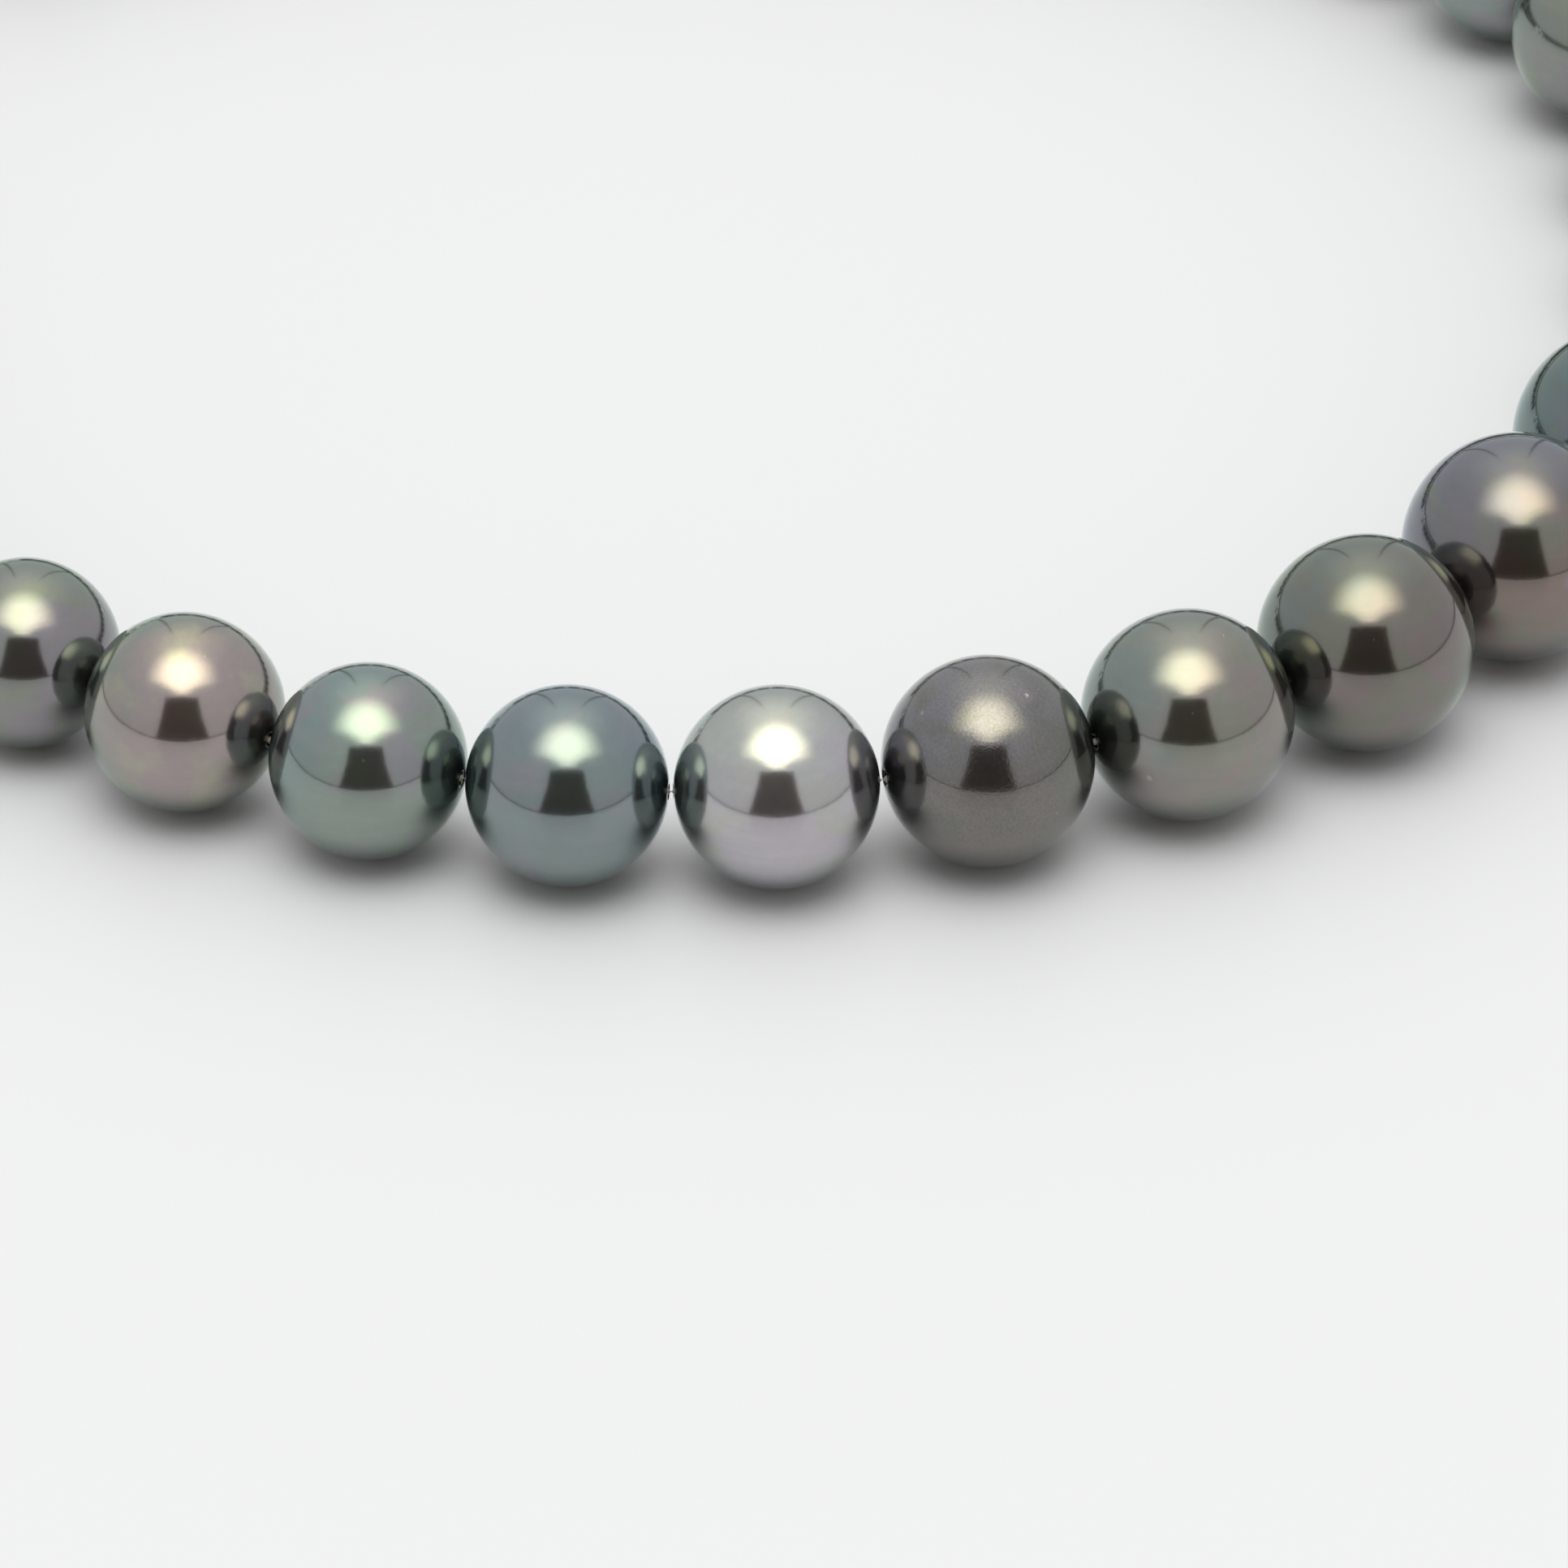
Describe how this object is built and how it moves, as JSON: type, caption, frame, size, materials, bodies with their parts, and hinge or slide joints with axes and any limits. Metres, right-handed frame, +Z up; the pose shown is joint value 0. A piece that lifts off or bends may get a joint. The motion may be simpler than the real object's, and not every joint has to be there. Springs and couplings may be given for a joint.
{
  "type": "pearl necklace",
  "caption": "Graduated strand of dark round pearls on a silk thread, laid in a ring with its ball clasp undone; every gap bends and the clasp swings and presses.",
  "frame": {"origin": "on the surface the strand lies on, under the middle of its outline", "axes": "+Z up from the surface, front pearl towards -Y, clasp towards +Y, +X to the right"},
  "size_m": [0.1416, 0.145, 0.0142],
  "materials": {
    "white_gold": "polished white gold",
    "gimp_wire": "fine coiled wire, satin",
    "pearl_slate": "nacre, glossy with a soft iridescent sheen",
    "pearl_aubergine": "nacre, glossy with a soft iridescent sheen",
    "pearl_green": "nacre, glossy with a soft iridescent sheen",
    "pearl_grey": "nacre, glossy with a soft iridescent sheen",
    "pearl_silver": "nacre, glossy with a soft iridescent sheen",
    "pearl_rose": "nacre, glossy with a soft iridescent sheen",
    "silk": "twisted silk, satin"
  },
  "bodies": {
    "front": {"pearl_front": "pearl_slate", "silk_thread": "silk"},
    "left_01": {"pearl_left_01": "pearl_aubergine"},
    "left_02": {"pearl_left_02": "pearl_green"},
    "left_03": {"pearl_left_03": "pearl_grey"},
    "left_04": {"pearl_left_04": "pearl_aubergine"},
    "left_05": {"pearl_left_05": "pearl_silver"},
    "left_06": {"pearl_left_06": "pearl_slate"},
    "left_07": {"pearl_left_07": "pearl_slate"},
    "left_08": {"pearl_left_08": "pearl_rose"},
    "left_09": {"pearl_left_09": "pearl_aubergine"},
    "left_10": {"pearl_left_10": "pearl_green"},
    "left_11": {"pearl_left_11": "pearl_grey"},
    "left_12": {"pearl_left_12": "pearl_aubergine"},
    "left_13": {"pearl_left_13": "pearl_silver"},
    "left_14": {"pearl_left_14": "pearl_slate"},
    "left_15": {"pearl_left_15": "pearl_slate", "loop_left": "gimp_wire"},
    "right_01": {"pearl_right_01": "pearl_green"},
    "right_02": {"pearl_right_02": "pearl_aubergine"},
    "right_03": {"pearl_right_03": "pearl_slate"},
    "right_04": {"pearl_right_04": "pearl_green"},
    "right_05": {"pearl_right_05": "pearl_slate"},
    "right_06": {"pearl_right_06": "pearl_grey"},
    "right_07": {"pearl_right_07": "pearl_rose"},
    "right_08": {"pearl_right_08": "pearl_green"},
    "right_09": {"pearl_right_09": "pearl_aubergine"},
    "right_10": {"pearl_right_10": "pearl_slate"},
    "right_11": {"pearl_right_11": "pearl_green"},
    "right_12": {"pearl_right_12": "pearl_slate"},
    "right_13": {"pearl_right_13": "pearl_grey"},
    "right_14": {"pearl_right_14": "pearl_rose"},
    "right_15": {"pearl_right_15": "pearl_green", "loop_right": "gimp_wire"},
    "clasp_ball": {"clasp_ball_ring": "white_gold", "clasp_ball_shell": "white_gold", "clasp_mouth_plate": "white_gold"},
    "clasp_tongue": {"clasp_tongue_ring": "white_gold", "clasp_tongue_collar": "white_gold", "clasp_lower_leaf": "white_gold"},
    "clasp_spring": {"clasp_spring_leaf": "white_gold", "clasp_thumb_tab": "white_gold"}
  },
  "joints": [
    {"name": "left_01_bend", "type": "hinge", "parent": "front", "child": "left_01", "pos_m": [-0.00725, -0.06538, 0.00699], "axis": [0, 0, 1], "range_deg": [0, 19.5], "deforming": ["silk_thread"]},
    {"name": "left_02_bend", "type": "hinge", "parent": "left_01", "child": "left_02", "pos_m": [-0.02121, -0.06235, 0.00658], "axis": [0, 0, 1], "range_deg": [0, 19.5]},
    {"name": "left_03_bend", "type": "hinge", "parent": "left_02", "child": "left_03", "pos_m": [-0.03349, -0.05685, 0.00634], "axis": [0, 0, 1], "range_deg": [0, 19.5]},
    {"name": "left_04_bend", "type": "hinge", "parent": "left_03", "child": "left_04", "pos_m": [-0.04404, -0.04928, 0.00629], "axis": [0, 0, 1], "range_deg": [0, 19.5]},
    {"name": "left_05_bend", "type": "hinge", "parent": "left_04", "child": "left_05", "pos_m": [-0.05279, -0.03983, 0.00604], "axis": [0, 0, 1], "range_deg": [0, 19.5]},
    {"name": "left_06_bend", "type": "hinge", "parent": "left_05", "child": "left_06", "pos_m": [-0.05922, -0.02925, 0.00597], "axis": [0, 0, 1], "range_deg": [0, 19.5]},
    {"name": "left_07_bend", "type": "hinge", "parent": "left_06", "child": "left_07", "pos_m": [-0.06337, -0.01775, 0.00587], "axis": [0, 0, 1], "range_deg": [0, 19.5]},
    {"name": "left_08_bend", "type": "hinge", "parent": "left_07", "child": "left_08", "pos_m": [-0.06513, -0.00584, 0.00599], "axis": [0, 0, 1], "range_deg": [0, 19.5]},
    {"name": "left_09_bend", "type": "hinge", "parent": "left_08", "child": "left_09", "pos_m": [-0.06462, 0.00642, 0.00575], "axis": [0, 0, 1], "range_deg": [0, 19.5]},
    {"name": "left_10_bend", "type": "hinge", "parent": "left_09", "child": "left_10", "pos_m": [-0.06228, 0.01799, 0.00573], "axis": [0, 0, 1], "range_deg": [0, 19.5]},
    {"name": "left_11_bend", "type": "hinge", "parent": "left_10", "child": "left_11", "pos_m": [-0.05817, 0.029, 0.00563], "axis": [0, 0, 1], "range_deg": [0, 19.5]},
    {"name": "left_12_bend", "type": "hinge", "parent": "left_11", "child": "left_12", "pos_m": [-0.05247, 0.03905, 0.00556], "axis": [0, 0, 1], "range_deg": [0, 19.5]},
    {"name": "left_13_bend", "type": "hinge", "parent": "left_12", "child": "left_13", "pos_m": [-0.04531, 0.04794, 0.00564], "axis": [0, 0, 1], "range_deg": [0, 19.5]},
    {"name": "left_14_bend", "type": "hinge", "parent": "left_13", "child": "left_14", "pos_m": [-0.03664, 0.05559, 0.00555], "axis": [0, 0, 1], "range_deg": [0, 19.5]},
    {"name": "left_15_bend", "type": "hinge", "parent": "left_14", "child": "left_15", "pos_m": [-0.02689, 0.06153, 0.0055], "axis": [0, 0, 1], "range_deg": [0, 19.5]},
    {"name": "right_01_bend", "type": "hinge", "parent": "front", "child": "right_01", "pos_m": [0.00725, -0.06538, 0.00687], "axis": [0, 0, -1], "range_deg": [0, 19.5]},
    {"name": "right_02_bend", "type": "hinge", "parent": "right_01", "child": "right_02", "pos_m": [0.02098, -0.06243, 0.00658], "axis": [0, 0, -1], "range_deg": [0, 19.5]},
    {"name": "right_03_bend", "type": "hinge", "parent": "right_02", "child": "right_03", "pos_m": [0.03327, -0.05698, 0.00647], "axis": [0, 0, -1], "range_deg": [0, 19.5]},
    {"name": "right_04_bend", "type": "hinge", "parent": "right_03", "child": "right_04", "pos_m": [0.04404, -0.04928, 0.00624], "axis": [0, 0, -1], "range_deg": [0, 19.5]},
    {"name": "right_05_bend", "type": "hinge", "parent": "right_04", "child": "right_05", "pos_m": [0.05273, -0.03991, 0.00604], "axis": [0, 0, -1], "range_deg": [0, 19.5]},
    {"name": "right_06_bend", "type": "hinge", "parent": "right_05", "child": "right_06", "pos_m": [0.05917, -0.02934, 0.00602], "axis": [0, 0, -1], "range_deg": [0, 19.5]},
    {"name": "right_07_bend", "type": "hinge", "parent": "right_06", "child": "right_07", "pos_m": [0.06337, -0.01774, 0.00587], "axis": [0, 0, -1], "range_deg": [0, 19.5]},
    {"name": "right_08_bend", "type": "hinge", "parent": "right_07", "child": "right_08", "pos_m": [0.06513, -0.00584, 0.00573], "axis": [0, 0, -1], "range_deg": [0, 19.5]},
    {"name": "right_09_bend", "type": "hinge", "parent": "right_08", "child": "right_09", "pos_m": [0.06468, 0.00592, 0.00578], "axis": [0, 0, -1], "range_deg": [0, 19.5]},
    {"name": "right_10_bend", "type": "hinge", "parent": "right_09", "child": "right_10", "pos_m": [0.0624, 0.01755, 0.00567], "axis": [0, 0, -1], "range_deg": [0, 19.5]},
    {"name": "right_11_bend", "type": "hinge", "parent": "right_10", "child": "right_11", "pos_m": [0.05841, 0.02849, 0.00558], "axis": [0, 0, -1], "range_deg": [0, 19.5]},
    {"name": "right_12_bend", "type": "hinge", "parent": "right_11", "child": "right_12", "pos_m": [0.05284, 0.03852, 0.00566], "axis": [0, 0, -1], "range_deg": [0, 19.5]},
    {"name": "right_13_bend", "type": "hinge", "parent": "right_12", "child": "right_13", "pos_m": [0.04562, 0.04761, 0.00558], "axis": [0, 0, -1], "range_deg": [0, 19.5]},
    {"name": "right_14_bend", "type": "hinge", "parent": "right_13", "child": "right_14", "pos_m": [0.03709, 0.05526, 0.00551], "axis": [0, 0, -1], "range_deg": [0, 19.5]},
    {"name": "right_15_bend", "type": "hinge", "parent": "right_14", "child": "right_15", "pos_m": [0.02747, 0.06124, 0.0056], "axis": [0, 0, -1], "range_deg": [0, 19.5]},
    {"name": "clasp_ball_swing", "type": "hinge", "parent": "left_15", "child": "clasp_ball", "pos_m": [-0.01228, 0.06713, 0.0055], "axis": [0, 0, 1], "range_deg": [-50, 50]},
    {"name": "clasp_tongue_swing", "type": "hinge", "parent": "right_15", "child": "clasp_tongue", "pos_m": [0.01273, 0.06704, 0.0056], "axis": [0, 0, 1], "range_deg": [-50, 50]},
    {"name": "clasp_leaf_press", "type": "hinge", "parent": "clasp_tongue", "child": "clasp_spring", "pos_m": [0.00323, 0.06707, 0.0059], "axis": [0.0035, 1, 0], "range_deg": [0, 8], "stiffness_Nm_per_rad": 0.05}
  ]
}
